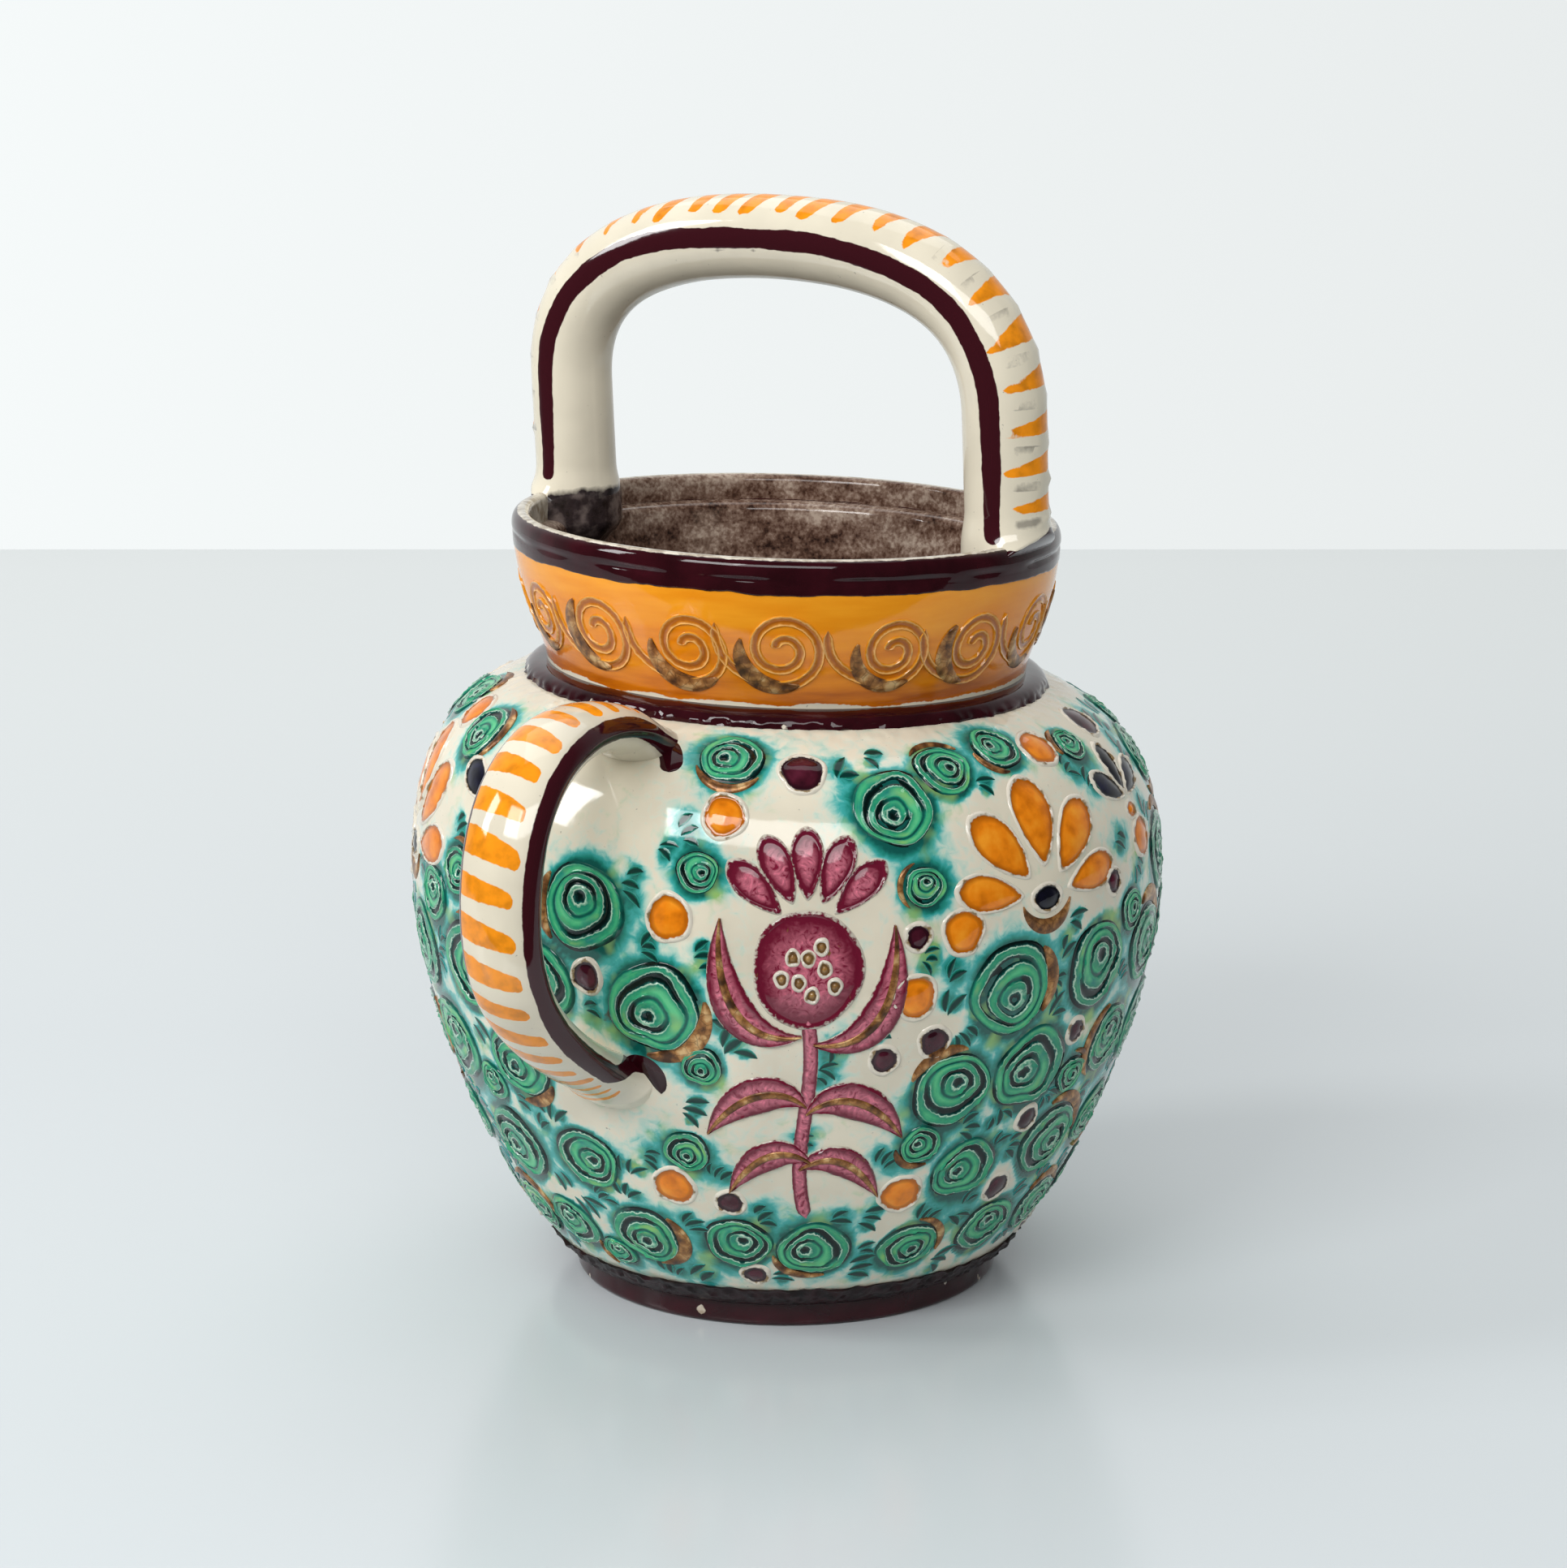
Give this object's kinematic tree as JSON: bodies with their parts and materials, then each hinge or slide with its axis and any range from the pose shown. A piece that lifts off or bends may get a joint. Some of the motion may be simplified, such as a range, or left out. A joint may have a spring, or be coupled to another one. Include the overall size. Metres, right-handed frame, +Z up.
{
  "type": "earthenware jug",
  "caption": "Glazed earthenware jug: ovoid body on a pad foot, flared collar with lid ledge, basket handle over the mouth and loop handle on the belly.",
  "frame": {"origin": "centre of the flat underside of the foot", "axes": "+Z up along the axis of the body, the basket handle in the XZ plane, the loop handle pointing along -Y"},
  "size_m": [0.1392, 0.1715, 0.2],
  "materials": {
    "cream_glaze": "gloss",
    "amber_glaze": "gloss",
    "aubergine_glaze": "gloss"
  },
  "bodies": {
    "root": {"foot_pad": "aubergine_glaze", "body": "cream_glaze", "shoulder_ring": "aubergine_glaze", "collar": "amber_glaze", "rim_band": "aubergine_glaze", "basket_handle": "cream_glaze", "basket_handle_pad_left": "cream_glaze", "basket_handle_pad_right": "cream_glaze", "side_handle": "cream_glaze", "side_handle_upper_pad": "cream_glaze", "side_handle_lower_pad": "cream_glaze"}
  },
  "joints": []
}
